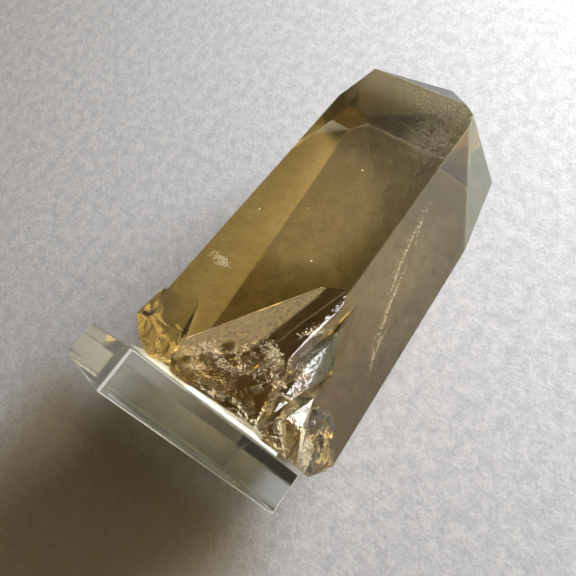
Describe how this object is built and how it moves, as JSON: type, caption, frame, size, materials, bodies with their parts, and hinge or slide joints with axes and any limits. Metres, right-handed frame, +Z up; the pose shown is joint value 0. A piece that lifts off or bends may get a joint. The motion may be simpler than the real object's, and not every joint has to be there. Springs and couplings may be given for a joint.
{
  "type": "smoky quartz point",
  "caption": "Smoky quartz point with side crystals at its foot, fixed with white putty to a clear square display block, lying on one long face.",
  "frame": {"origin": "middle of the bounding box at floor level, with the specimen lying on its long floor face", "axes": "+X along the crystal from the block to the tip, +Z up, out of the front prism face"},
  "size_m": [0.1184, 0.0752, 0.0706],
  "materials": {
    "smoky_quartz": "clear smoky brown, glossy growth faces with fine dust and etched patches",
    "clear_acrylic": "polished, colourless",
    "white_putty": "matt",
    "blank_label": "paper, blank"
  },
  "bodies": {
    "root": {"quartz_crystal": "smoky_quartz", "acrylic_base": "clear_acrylic", "mounting_putty": "white_putty", "base_label": "blank_label"}
  },
  "joints": []
}
